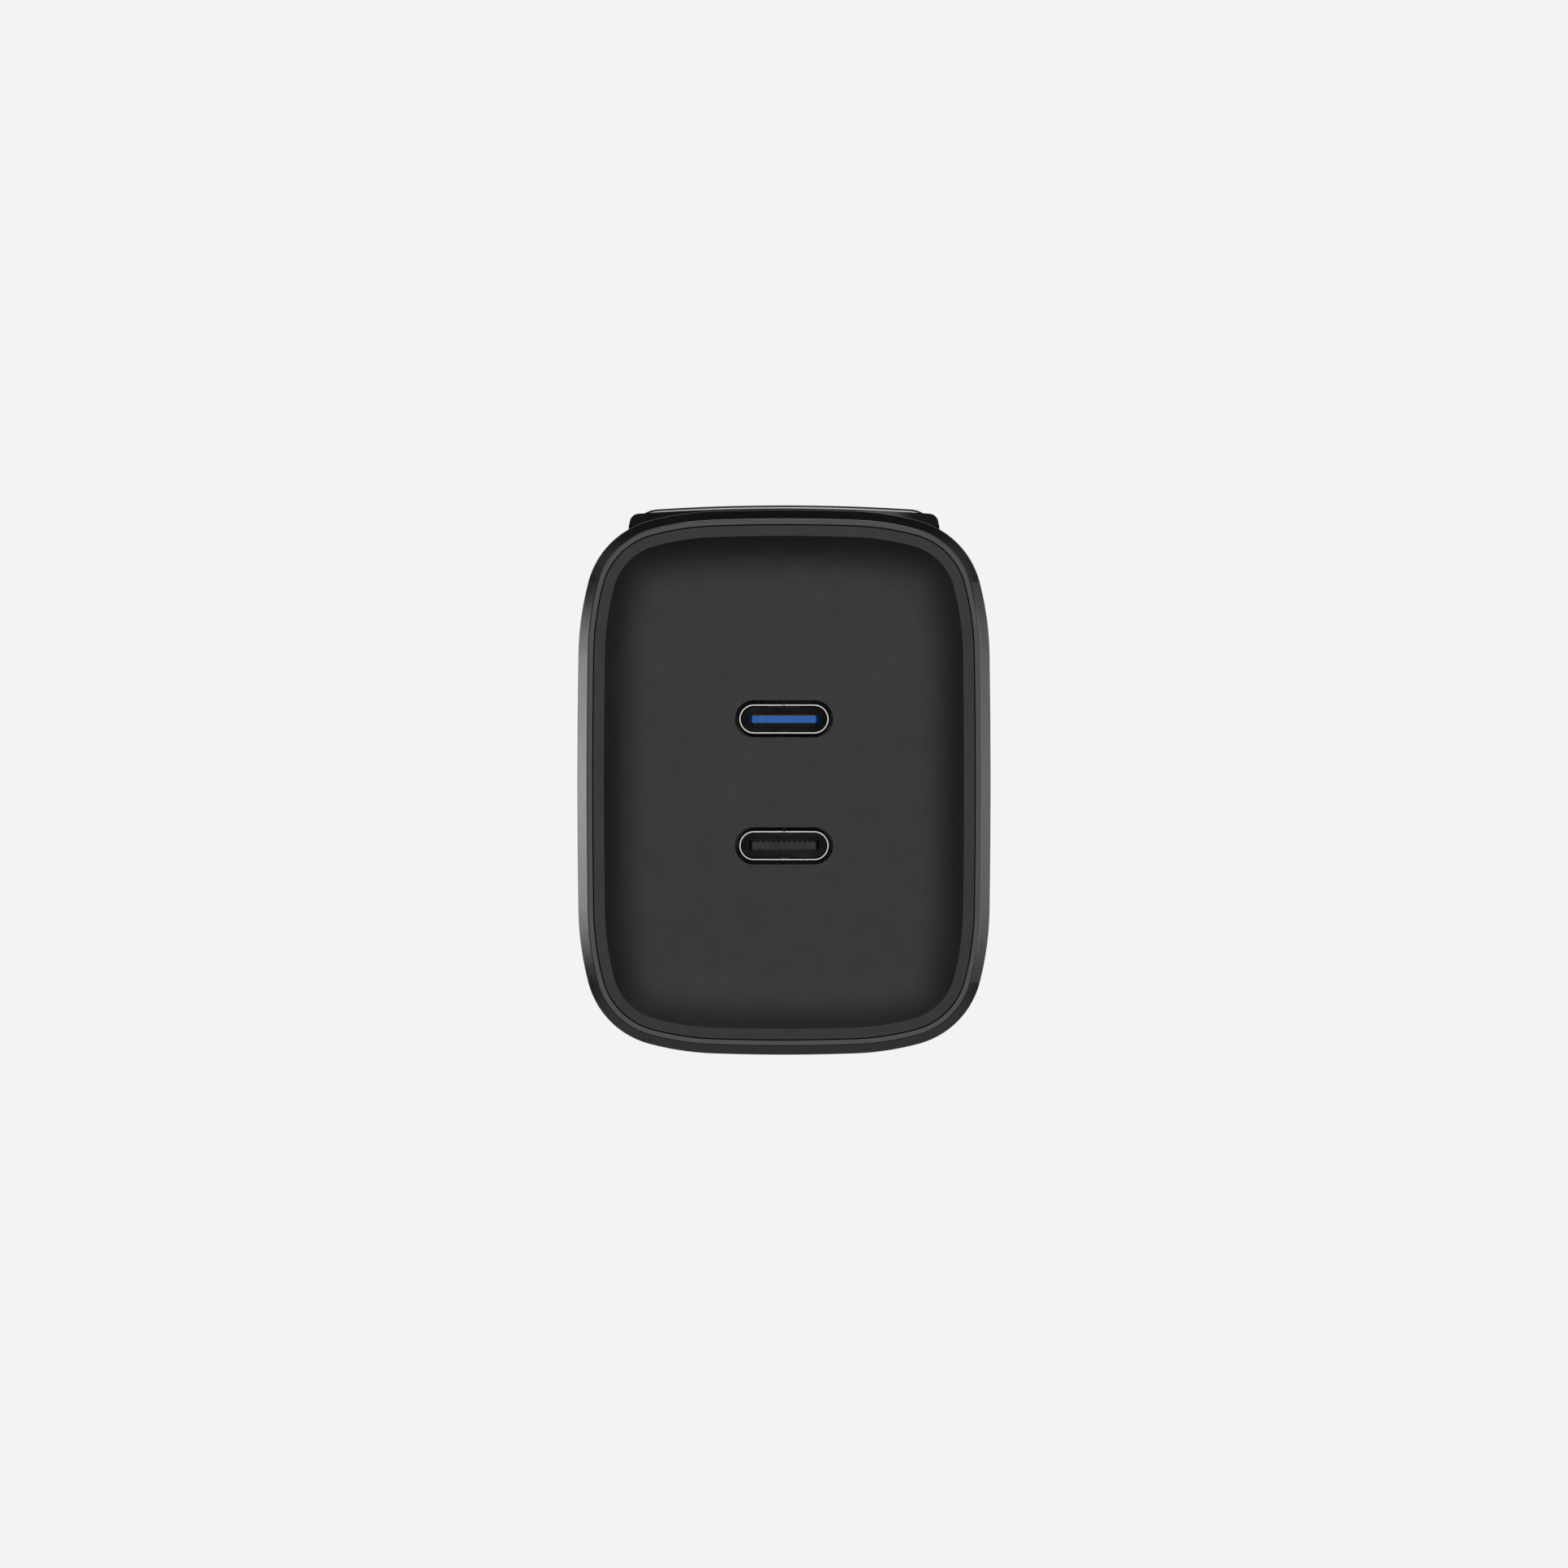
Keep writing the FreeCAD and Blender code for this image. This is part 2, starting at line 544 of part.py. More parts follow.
def pin_sleeve(side):
    x = side * PIN_HALF_SPACING
    outside = rod(x, 0, SLEEVE_R, -BOSS_END_WALL, SLEEVE_LENGTH)
    return outside.cut(rod(x, 0, PIN_CORE_R, -BOSS_END_WALL, SLEEVE_LENGTH))


def head_contact(side):
    """A strap from a pin's tail to a contact pad on the sliding plate's front."""
    x = side * PIN_HALF_SPACING
    tail_y = -BOSS_END_WALL - PIN_TAIL
    half = STRAP_WIDTH / 2
    eye = box(x - half, x + half, tail_y - STRAP_SHEET, tail_y, -half, half)
    x0, x1 = sorted((x - side * half, x - side * (half - STRAP_SHEET)))
    run = box(x0, x1, PLATE_FRONT_Y, tail_y, -half, half)
    p0, p1 = sorted((x - side * half, x - side * half + side * PAD_REACH))
    pad = box(p0, p1, PLATE_FRONT_Y, PLATE_FRONT_Y + STRAP_SHEET, -PAD_HALF_HEIGHT, PAD_HALF_HEIGHT)
    return eye.fuse([run, pad]).removeSplitter()


def dock_contact(side):
    """A sprung strip soldered to the main board, whose bump meets the plug head's pad."""
    x = side * PIN_HALF_SPACING
    half = SPRING_HALF_WIDTH
    crest_y = PLATE_FRONT_Y - SPRING_CLEARANCE
    foot_y = MAIN_BOARD_BACK_Y
    end = PAD_HALF_HEIGHT
    flat = SPRING_CREST / 2
    sheet = SPRING_SHEET
    tip_y = foot_y + 2 * sheet
    outer = [(foot_y, -end), (foot_y + sheet, -end), (crest_y, -flat), (crest_y, flat), (tip_y, end)]
    inner = [(tip_y - sheet, end), (crest_y - sheet, flat), (crest_y - sheet, -flat), (foot_y, sheet - end)]
    profile = Part.makePolygon([V(x - half, y, z) for y, z in [*outer, *inner, outer[0]]])
    strip = Part.Face(profile).extrude(V(2 * half, 0, 0))
    tail = box(x - half / 2, x + half / 2, MAIN_BOARD_FRONT_Y - LINK_TAIL, foot_y, -end, sheet - end)
    return strip.fuse(tail).removeSplitter()


# ------------------------------------------------------------------ USB-C sockets
def port_shell(z):
    inside_w, inside_h = SHELL_INSIDE
    tube = stadium(inside_w + 2 * SHELL_SHEET, inside_h + 2 * SHELL_SHEET, z, SHELL_FRONT_Y, SHELL_BACK_Y)
    tube = tube.cut(stadium(inside_w, inside_h, z, SHELL_FRONT_Y, SHELL_BACK_Y))
    roof, floor = z + inside_h / 2, z - inside_h / 2
    y0 = SHELL_FRONT_Y + PAD_SET_BACK
    pads = [
        box(-CEILING_PAD[0] / 2, CEILING_PAD[0] / 2, y0, y0 + PAD_LENGTH, roof - CEILING_PAD[1], roof),
        box(-FLOOR_PAD[0] / 2, FLOOR_PAD[0] / 2, y0, y0 + PAD_LENGTH, floor, floor + FLOOR_PAD[1]),
    ]
    reach = (inside_w - inside_h) / 2
    half = SHELL_LEG_WIDTH / 2
    end = PORT_BOARD_BACK_Y + SHELL_LEG_TAIL
    legs = [
        box(x - half, x + half, SHELL_BACK_Y, end, bottom, bottom + SHELL_SHEET)
        for x in (-reach, reach) for bottom in (roof, floor - SHELL_SHEET)
    ]
    half = SHELL_SEAM / 2
    seam = box(-half, half, SHELL_FRONT_Y, SHELL_BACK_Y, roof - CEILING_PAD[1], roof + SHELL_SHEET)
    return tube.fuse([*pads, *legs]).removeSplitter().cut(seam)


def port_contacts(z):
    """Two rows of gold-plated strips along the tongue, which run back to the port board."""
    y0 = SHELL_FRONT_Y + TONGUE_SET_BACK + CONTACT_SET_BACK
    y1 = PORT_BOARD_FRONT_Y
    high = TONGUE[1] / 2 + CONTACT_PROUD
    low = high - CONTACT_THICKNESS
    half = CONTACT_WIDTH / 2
    strips = []
    for i in range(CONTACT_COUNT):
        x = (i - (CONTACT_COUNT - 1) / 2) * CONTACT_PITCH
        strips.append(box(x - half, x + half, y0, y1, z + low, z + high))
        strips.append(box(x - half, x + half, y0, y1, z - high, z - low))
    return one(strips)


def mid_plate(z):
    y0 = SHELL_FRONT_Y + TONGUE_SET_BACK + TONGUE_LEAD_IN
    half = MID_PLATE_THICKNESS / 2
    return box(-MID_PLATE_WIDTH / 2, MID_PLATE_WIDTH / 2, y0, SHELL_BACK_Y, z - half, z + half)


def port_tongue(z):
    """The moulded insulator: tongue, the step at its root and the base that fills the shell's back."""
    tip_y = SHELL_FRONT_Y + TONGUE_SET_BACK
    full_y = tip_y + TONGUE_LEAD_IN
    base_y = SHELL_BACK_Y - SOCKET_BASE_LENGTH
    lead_in = Part.makeLoft([rectangle(*TONGUE_TIP, z, tip_y), rectangle(*TONGUE, z, full_y)], True, True)
    width, thickness = TONGUE
    shank = box(-width / 2, width / 2, full_y, base_y, z - thickness / 2, z + thickness / 2)
    root = stadium(TONGUE_ROOT[0], TONGUE_ROOT[1], z, base_y - TONGUE_ROOT[2], base_y)
    inside_w, inside_h = SHELL_INSIDE
    base = stadium(inside_w - 2 * SOCKET_FIT, inside_h - 2 * SOCKET_FIT, z, base_y, SHELL_BACK_Y)
    return shank.fuse([lead_in, root, base]).removeSplitter().cut([port_contacts(z), mid_plate(z)])


# ------------------------------------------------------------------ boards
def link_pins():
    """Square pins that join the two boards."""
    half = LINK_PIN / 2
    xs = [(i - (LINK_PINS - 1) / 2) * LINK_PITCH for i in range(LINK_PINS)]
    z = BODY_Z + LINK_Z
    y0, y1 = PORT_BOARD_FRONT_Y - LINK_TAIL, MAIN_BOARD_BACK_Y + LINK_TAIL / 2
    return one([box(x - half, x + half, y0, y1, z - half, z + half) for x in xs])


def pin_header():
    length = LINK_PINS * LINK_PITCH
    bar = block(0.0, BODY_Z + LINK_Z, (length, LINK_PITCH, HEADER_HEIGHT), MAIN_BOARD_FRONT_Y)
    return bar.cut(link_pins())


def port_board():
    board = BODY.prism(BOARD_INSET, PORT_BOARD_FRONT_Y, PORT_BOARD_BACK_Y)
    return board.cut([link_pins(), *[port_shell(z) for z in PORTS.values()]])


def main_board():
    board = BODY.prism(BOARD_INSET, MAIN_BOARD_FRONT_Y, MAIN_BOARD_BACK_Y)
    return board.cut([link_pins(), *[dock_contact(s) for s in SIDES.values()]])


def transformer_core():
    """Two E halves round the bobbin, meeting at mid height."""
    x, z = at_body(TRANSFORMER_AT)
    width, height, depth = TRANSFORMER_CORE
    whole = block(x, z, TRANSFORMER_CORE, MAIN_BOARD_FRONT_Y)
    y1 = MAIN_BOARD_FRONT_Y - TRANSFORMER_YOKE
    y0 = MAIN_BOARD_FRONT_Y - depth + TRANSFORMER_YOKE
    inner = width / 2 - TRANSFORMER_OUTER_LEG
    window = box(x - inner, x + inner, y0, y1, z - height, z + height)
    window = window.cut(rod(x, z, TRANSFORMER_LEG_R, y0, y1))
    core = whole.cut(window)
    middle = (y0 + y1) / 2
    back = core.common(box(x - width, x + width, middle, MAIN_BOARD_FRONT_Y, z - height, z + height))
    front = core.common(box(x - width, x + width, MAIN_BOARD_FRONT_Y - depth, middle, z - height, z + height))
    return one([back, front])


def transformer_spool(radius_in, radius_out, inset):
    x, z = at_body(TRANSFORMER_AT)
    depth = TRANSFORMER_CORE[2]
    y1 = MAIN_BOARD_FRONT_Y - TRANSFORMER_YOKE - inset
    y0 = MAIN_BOARD_FRONT_Y - depth + TRANSFORMER_YOKE + inset
    return rod(x, z, radius_out, y0, y1).cut(rod(x, z, radius_in, y0, y1))


def transformer_bobbin():
    outer = TRANSFORMER_CORE[0] / 2 - TRANSFORMER_OUTER_LEG - WINDING_SLACK / 2
    inner = TRANSFORMER_LEG_R
    spool = transformer_spool(inner, outer, 0.0)
    return spool.cut(transformer_spool(inner + BOBBIN_WALL, outer + BOBBIN_WALL, BOBBIN_WALL))


def transformer_winding():
    outer = TRANSFORMER_CORE[0] / 2 - TRANSFORMER_OUTER_LEG - WINDING_SLACK
    return transformer_spool(TRANSFORMER_LEG_R + BOBBIN_WALL, outer, BOBBIN_WALL)


def bulk_capacitors():
    """Two electrolytic cans that lie on the main board, each with the crimp near its end."""
    cans = []
    for point in BULK_AT:
        x, z = at_body(point)
        y = MAIN_BOARD_FRONT_Y - BULK_R
        end = z + BULK_LENGTH / 2
        can = Part.makeCylinder(BULK_R, BULK_LENGTH, V(x, y, end - BULK_LENGTH), V(0, 0, 1))
        crimp = Part.makeTorus(BULK_R + BULK_CRIMP, 2 * BULK_CRIMP, V(x, y, end - BULK_CRIMP_AT), V(0, 0, 1))
        cans.append(can.cut(crimp))
    return one(cans)


def choke_core():
    x, z = at_body(CHOKE_AT)
    y1 = MAIN_BOARD_FRONT_Y - CHOKE_WIRE * 2
    y0 = y1 - CHOKE_HEIGHT
    return rod(x, z, CHOKE_R[1], y0, y1).cut(rod(x, z, CHOKE_R[0], y0, y1))


def choke_winding():
    """Two banks of turns, each wrapped over part of the ring."""
    x, z = at_body(CHOKE_AT)
    y1 = MAIN_BOARD_FRONT_Y - CHOKE_WIRE
    y0 = y1 - CHOKE_HEIGHT - 2 * CHOKE_WIRE
    sheath = rod(x, z, CHOKE_R[1] + CHOKE_WIRE, y0, y1).cut(rod(x, z, CHOKE_R[0] - CHOKE_WIRE, y0, y1))
    sheath = sheath.cut(choke_core())
    reach = 2 * CHOKE_R[1]
    gap = CHOKE_R[0] / 2
    upper = sheath.common(box(x - reach, x + reach, y0, y1, z + gap, z + reach))
    lower = sheath.common(box(x - reach, x + reach, y0, y1, z - reach, z - gap))
    return one([upper, lower])


def y_capacitor():
    x, z = at_body(Y_CAP_AT)
    y = MAIN_BOARD_FRONT_Y - Y_CAP_R
    disc = Part.makeCylinder(Y_CAP_R, Y_CAP_THICKNESS, V(x - Y_CAP_THICKNESS / 2, y, z), V(1, 0, 0))
    return disc.makeFillet(Y_CAP_THICKNESS / 3, [e for e in disc.Edges if e.BoundBox.XLength < 0.01])


def fuse_tube():
    x, z = at_body(FUSE_AT)
    reach = FUSE_LENGTH / 2 - FUSE_CAP
    start = V(x - reach, MAIN_BOARD_FRONT_Y - FUSE_R, z)
    return Part.makeCylinder(FUSE_TUBE_R, 2 * reach, start, V(1, 0, 0))


def fuse_caps():
    x, z = at_body(FUSE_AT)
    y = MAIN_BOARD_FRONT_Y - FUSE_R
    starts = (x - FUSE_LENGTH / 2, x + FUSE_LENGTH / 2 - FUSE_CAP)
    return one([Part.makeCylinder(FUSE_R, FUSE_CAP, V(s, y, z), V(1, 0, 0)) for s in starts])


def output_capacitors():
    y = MAIN_BOARD_FRONT_Y
    return one([rod(*at_body(p), OUT_CAP_R, y - OUT_CAP_HEIGHT, y) for p in OUT_CAP_AT])


def on_main_board(point, size):
    return block(*at_body(point), size, MAIN_BOARD_FRONT_Y)


def on_port_board(points, size):
    return one([block(*at_body(p), size, PORT_BOARD_BACK_Y, up=1) for p in points])


def ceramic_capacitors():
    middle = (CERAMIC_ROW - 1) / 2
    points = [((i - middle) * CERAMIC_PITCH, z) for z in CERAMIC_ROWS_Z for i in range(CERAMIC_ROW)]
    return one([block(*at_body(p), CERAMIC_SIZE, PORT_BOARD_FRONT_Y) for p in points])


def heat_spreader(side):
    y0, y1 = PORT_BOARD_BACK_Y + SPREADER_MARGIN, MAIN_BOARD_FRONT_Y - SPREADER_MARGIN
    ring = BODY.ring(SPREADER_INSET, SPREADER_INSET + SPREADER_SHEET, y0, y1)
    x0, x1 = sorted((0.0, side * BODY_WIDTH))
    half = SPREADER_HALF_HEIGHT
    return ring.common(box(x0, x1, FRONT_Y, REAR_Y, BODY_Z - half, BODY_Z + half))


def insulating_film():
    y0, y1 = PANEL_BACK_Y + SKIRT_DEPTH + FILM_MARGIN, TRAY_FRONT_Y - FILM_MARGIN
    return BODY.ring(FILM_INSET, FILM_INSET + FILM_SHEET, y0, y1)


# ------------------------------------------------------------------ every node
def nodes():
    yield "housing", housing()
    yield "front_panel", front_panel()
    yield "rear_dock", rear_dock()
    yield "release_button", release_button()
    yield "latch_spring", latch_spring()
    yield "plug_base", plug_base()
    yield "plug_boss", plug_boss()
    for name, side in SIDES.items():
        yield f"mains_pin_{name}", pin(side)
        yield f"pin_sleeve_{name}", pin_sleeve(side)
        yield f"head_contact_{name}", head_contact(side)
        yield f"dock_contact_{name}", dock_contact(side)
        yield f"heat_spreader_{name}", heat_spreader(side)
    for name, z in PORTS.items():
        yield f"port_shell_{name}", port_shell(z)
        yield f"port_tongue_{name}", port_tongue(z)
        yield f"port_contacts_{name}", port_contacts(z)
        yield f"port_mid_plate_{name}", mid_plate(z)
    yield "port_board", port_board()
    yield "main_board", main_board()
    yield "board_link_pins", link_pins()
    yield "pin_header", pin_header()
    yield "transformer_core", transformer_core()
    yield "transformer_bobbin", transformer_bobbin()
    yield "transformer_winding", transformer_winding()
    yield "bulk_capacitors", bulk_capacitors()
    yield "choke_core", choke_core()
    yield "choke_winding", choke_winding()
    yield "x_capacitor", on_main_board(X_CAP_AT, X_CAP_SIZE)
    yield "y_capacitor", y_capacitor()
    yield "varistor", on_main_board(VARISTOR_AT, VARISTOR_SIZE)
    yield "fuse_tube", fuse_tube()
    yield "fuse_caps", fuse_caps()
    yield "bridge_rectifier", on_main_board(BRIDGE_AT, BRIDGE_SIZE)
    yield "power_switch", on_main_board(SWITCH_AT, SWITCH_SIZE)
    yield "optocoupler", on_main_board(OPTO_AT, OPTO_SIZE)
    yield "output_capacitors", output_capacitors()
    yield "buck_inductors", on_port_board(INDUCTOR_AT, INDUCTOR_SIZE)
    yield "controller_chips", on_port_board(CHIP_AT, CHIP_SIZE)
    yield "ceramic_capacitors", ceramic_capacitors()
    yield "insulating_film", insulating_film()


def main():
    os.makedirs("parts", exist_ok=True)
    for name, shape in nodes():
        if not shape.isValid() or shape.Volume <= 0:
            raise ValueError(f"{name} is not a valid solid")
        shape.exportStep(f"parts/{name}.step")
        print(f"{name}: {len(shape.Solids)} solid(s), {shape.Volume:.2f} mm3")


main()
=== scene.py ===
import math

import bpy
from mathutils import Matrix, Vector


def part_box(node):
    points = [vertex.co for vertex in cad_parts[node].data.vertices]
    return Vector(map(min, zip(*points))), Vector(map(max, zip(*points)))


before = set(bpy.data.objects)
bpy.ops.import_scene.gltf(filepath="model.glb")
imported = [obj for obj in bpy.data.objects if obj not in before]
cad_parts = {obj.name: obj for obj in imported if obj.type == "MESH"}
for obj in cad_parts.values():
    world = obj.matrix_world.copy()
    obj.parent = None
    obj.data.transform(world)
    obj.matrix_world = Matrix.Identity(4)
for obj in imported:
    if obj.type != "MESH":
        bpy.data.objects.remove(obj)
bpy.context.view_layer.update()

MM = 0.001
LOW, HIGH = (Vector(corner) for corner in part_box("housing"))
FRONT_Y = LOW.y
MIDDLE_Z = (LOW.z + HIGH.z) / 2
FACE = Vector((0, FRONT_Y, MIDDLE_Z))       # middle of the front
BODY = Vector((0, 0, MIDDLE_Z))

SHELL_SHEET = 0.3 * MM
HIGHLIGHT_RING_WIDTH = 0.11 * MM                       # width of the painted highlight ring round a socket's mouth
MOUTH_DEPTH = 0.05 * MM
SHADE_SET_BACK = 3.2 * MM               # painted shade begins this far behind the tongue's tip
# painted shade: black for the socket shells' front faces and the tongue roots, which lie in shadow
PAINTED_SHADE_BLACK = (0.002, 0.002, 0.002)
# painted highlight: bright steel for the glint round each socket's mouth
PAINTED_HIGHLIGHT_STEEL = (0.5, 0.495, 0.485)
NICKEL = (0.66, 0.62, 0.56)
COPPER = (0.72, 0.40, 0.25)

PALE = (0.896, 0.896, 0.896, 1)
FLOOR_SIZE = 2.1
FLOOR_Z = -0.36
FLOOR_GLOW = 0.78
CAMERA_DISTANCE = 0.35                      # from the front of the housing
CAMERA_Z = -0.01596
CAMERA_SENSOR = 36                          # millimetres, like its lens
CAMERA_LENS = 84.06


def add_node(tree, kind, inputs=(), **settings):
    """A shader node, whose inputs are numbers or other nodes' outputs."""
    made = tree.nodes.new("ShaderNode" + kind)
    for key, value in settings.items():
        setattr(made, key, value)
    for key, value in dict(inputs).items():
        if isinstance(value, bpy.types.NodeSocket):
            tree.links.new(value, made.inputs[key])
        else:
            made.inputs[key].default_value = value
    return made


# ---------------------------------------------------------------- materials
class Look:
    """A Principled material whose detail comes from textures in the object's own coordinates."""

    def __init__(self, name, colour, roughness, **sockets):
        self.name = name
        self.material = bpy.data.materials.new(name)
        self.material.use_nodes = True
        self.tree = self.material.node_tree
        self.shader = self.tree.nodes["Principled BSDF"]
        self.place = self.node("TexCoord").outputs["Object"]
        self.shader.inputs["Base Color"].default_value = (*colour, 1)
        self.shader.inputs["Roughness"].default_value = roughness
        for socket, value in sockets.items():
            self.shader.inputs[socket.replace("_", " ")].default_value = value
        self.colour = self.height = None

    def node(self, kind, inputs=(), **settings):
        return add_node(self.tree, kind, inputs, **settings)

    def plug(self, value, socket):
        self.tree.links.new(value, self.shader.inputs[socket])

    def stretched(self, scale):
        if scale is None:
            return self.place
        return self.node("Mapping", {"Vector": self.place, "Scale": scale}).outputs["Vector"]

    def noise(self, size, detail=2.0, stretch=None):
        """Soft noise from 0 to 1 whose features are about size metres across."""
        inputs = {"Vector": self.stretched(stretch), "Scale": 1 / size, "Detail": detail}
        return self.node("TexNoise", inputs).outputs["Fac"]

    def cells(self, size, feature="F1", stretch=None):
        """The distance to a cell's middle, or to its edge."""
        inputs = {"Vector": self.stretched(stretch), "Scale": 1 / size}
        return self.node("TexVoronoi", inputs, feature=feature).outputs["Distance"]

    def ranged(self, value, low, high, start=0.3, end=0.7):
        inputs = {"Value": value, "From Min": start, "From Max": end, "To Min": low, "To Max": high}
        return self.node("MapRange", inputs).outputs["Result"]

    def rough(self, value, low, high, start=0.3, end=0.7):
        self.plug(self.ranged(value, low, high, start, end), "Roughness")
        return self

    def tint(self, value, first, second, start=0.3, end=0.7):
        fac = self.ranged(value, 0, 1, start, end)
        mix = self.node("Mix", {0: fac, 6: (*first, 1), 7: (*second, 1)}, data_type="RGBA")
        self.colour = mix.outputs[2]
        self.plug(self.colour, "Base Color")
        return self

    def over(self, mask, colour):
        """Lays a colour over what is there, where the mask is 1."""
        mix = self.node("Mix", {0: mask, 6: self.colour, 7: (*colour, 1)}, data_type="RGBA")
        self.colour = mix.outputs[2]
        self.plug(self.colour, "Base Color")
        return self

    def bump(self, value, depth, strength=1.0):
        """Adds relief of that depth in metres to what is there."""
        inputs = {"Height": value, "Distance": depth, "Strength": strength}
        if self.height:
            inputs["Normal"] = self.height
        self.height = self.node("Bump", inputs).outputs["Normal"]
        self.plug(self.height, "Normal")
        return self

    def math(self, operation, *values):
        return self.node("Math", dict(enumerate(values)), operation=operation).outputs[0]

    def facing(self, axis):
        """How far the surface faces along x, y or z, from -1 to 1."""
        normal = self.node("NewGeometry").outputs["True Normal"]
        turned = self.node("VectorTransform", {"Vector": normal}, convert_from="WORLD", convert_to="OBJECT")
        return self.node("SeparateXYZ", {"Vector": turned.outputs[0]}).outputs[axis]

    def along(self, axis):
        """The place along x, y or z in metres."""
        return self.node("SeparateXYZ", {"Vector": self.place}).outputs[axis]


def moulded(name, colour, roughness, grain, depth, spread=0.06, **sockets):
    """Moulded plastic: a fine eroded grain, faint mottling and a slow change of polish."""
    look = Look(name, colour, roughness, **sockets)
    fine = look.noise(grain, 3.0)
    slow = look.noise(9 * MM, 3.0)
    look.tint(slow, [c * 0.86 for c in colour], [min(1, c * 1.14) for c in colour])
    look.rough(look.noise(2.2 * MM, 4.0), roughness - spread, roughness + spread)
    return look.bump(fine, depth)


def metal(name, colour, roughness, stretch, size, depth, spread=0.08, **sockets):
    """Drawn or turned metal: hairlines along one direction, and a little staining."""
    look = Look(name, colour, roughness, Metallic=1.0, **sockets)
    lines = look.noise(size, 4.0, stretch)
    look.tint(look.noise(1.8 * MM, 4.0), [c * 0.82 for c in colour], colour)
    look.rough(lines, roughness - spread, roughness + spread)
    return look.bump(lines, depth)


def housing_plastic():
    return moulded("housing_plastic", (0.0035, 0.0035, 0.0037), 0.17, 0.16 * MM, 0.0005 * MM, 0.02, IOR=1.6)


def panel_plastic():
    return moulded("panel_plastic", (0.008, 0.008, 0.0083), 0.38, 0.13 * MM, 0.0012 * MM, 0.02)


def dock_plastic():
    return moulded("dock_plastic", (0.014, 0.014, 0.015), 0.42, 0.2 * MM, 0.002 * MM)


def button_plastic():
    return moulded("button_plastic", (0.018, 0.018, 0.019), 0.33, 0.12 * MM, 0.0012 * MM)


def plug_plastic():
    return moulded("plug_plastic", (0.0075, 0.0075, 0.0078), 0.17, 0.18 * MM, 0.0005 * MM, 0.02)


def sleeve_plastic():
    look = moulded("sleeve_plastic", (0.015, 0.015, 0.016), 0.45, 0.1 * MM, 0.001 * MM)
    rings = look.noise(0.25 * MM, 1.0, (0.05, 1, 0.05))
    return look.bump(rings, 0.002 * MM)


def port_steel():
    """Blackened steel. Round each mouth its front face is painted black as painted shade, except a thin
    bright ring at the mouth's edge, which is a painted highlight.
    """
    look = metal("port_steel", (0.03, 0.03, 0.03), 0.34, (1, 0.06, 1), 0.1 * MM, 0.0004 * MM)
    shells = [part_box("port_shell_upper"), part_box("port_shell_lower")]
    (left, mouth_y, bottom), (right, _, top) = shells[0]
    height = top - bottom
    reach = (right - left - height) / 2
    drops = []
    for low, high in shells:
        up = look.math("SUBTRACT", look.along(2), (low[2] + high[2]) / 2)
        drops.append(look.math("ABSOLUTE", up))
    up = look.math("MINIMUM", *drops)
    out = look.math("MAXIMUM", look.math("SUBTRACT", look.math("ABSOLUTE", look.along(0)), reach), 0.0)
    away = look.math("SQRT", look.math("ADD", look.math("POWER", out, 2.0), look.math("POWER", up, 2.0)))
    # painted shade: the shells' front faces near the mouth are painted black
    front = look.math("MULTIPLY", look.math("LESS_THAN", look.facing(1), -0.9),
                      look.math("LESS_THAN", look.along(1), mouth_y + MOUTH_DEPTH))
    # painted highlight: a thin bright ring on those faces at the mouth's edge
    highlight_ring = look.math("LESS_THAN", away, height / 2 - SHELL_SHEET + HIGHLIGHT_RING_WIDTH)
    look.over(front, PAINTED_SHADE_BLACK)
    look.over(look.math("MULTIPLY", front, highlight_ring), PAINTED_HIGHLIGHT_STEEL)
    return look


def tongue(name, colour, shade, **sockets):
    """Glass-filled plastic with moulding lines along the tongue. Behind the tip it is painted black, as
    painted shade for the dark inside of the socket.
    """
    look = moulded(name, colour, 0.4, 0.07 * MM, 0.0004 * MM, **sockets)
    fibres = look.noise(0.16 * MM, 3.0, (1, 0.12, 1))
    look.tint(fibres, shade, colour)
    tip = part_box("port_tongue_upper")[0][1]
    # painted shade: the tongue behind its tip is painted black, as shadow inside the socket
    shaded_root = look.math("GREATER_THAN", look.along(1), tip + SHADE_SET_BACK)
    look.over(shaded_root, PAINTED_SHADE_BLACK)
    return look.bump(fibres, 0.0008 * MM)


def ferrite():
    look = Look("ferrite", (0.03, 0.029, 0.028), 0.62)
    look.tint(look.noise(0.35 * MM, 6.0), (0.02, 0.019, 0.019), (0.055, 0.053, 0.05))
    look.rough(look.cells(0.3 * MM), 0.5, 0.78, 0.0, 0.6)
    return look.bump(look.noise(0.12 * MM, 5.0), 0.01 * MM)


def board_green():
    """Solder mask over copper: slightly raised tracks and glass weave below."""
    look = Look("board_green", (0.01, 0.09, 0.03), 0.28, Coat_Weight=0.6, Coat_Roughness=0.12)
    tracks = look.cells(2.4 * MM, "DISTANCE_TO_EDGE", (1, 1, 0.55))
    raised = look.ranged(tracks, 1, 0, 0.05, 0.11)
    look.tint(raised, (0.006, 0.055, 0.02), (0.016, 0.13, 0.045), 0, 1)
    weave = look.noise(0.5 * MM, 2.0, (1, 1, 0.2))
    look.bump(raised, 0.03 * MM)
    look.rough(look.noise(1.5 * MM), 0.2, 0.36)
    return look.bump(weave, 0.004 * MM)


def winding(name, colour, shade, pitch):
    """Enamelled wire or tape laid side by side."""
    look = Look(name, colour, 0.3, Coat_Weight=0.4, Coat_Roughness=0.15)
    inputs = {"Vector": look.place, "Scale": 1 / (pitch * 3.1), "Distortion": 0.6, "Detail": 1.0}
    turns = look.node("TexWave", inputs, bands_direction="Z").outputs["Fac"]
    look.tint(turns, shade, colour, 0.1, 0.8)
    look.rough(look.noise(1.2 * MM), 0.24, 0.4)
    return look.bump(turns, 0.06 * MM)


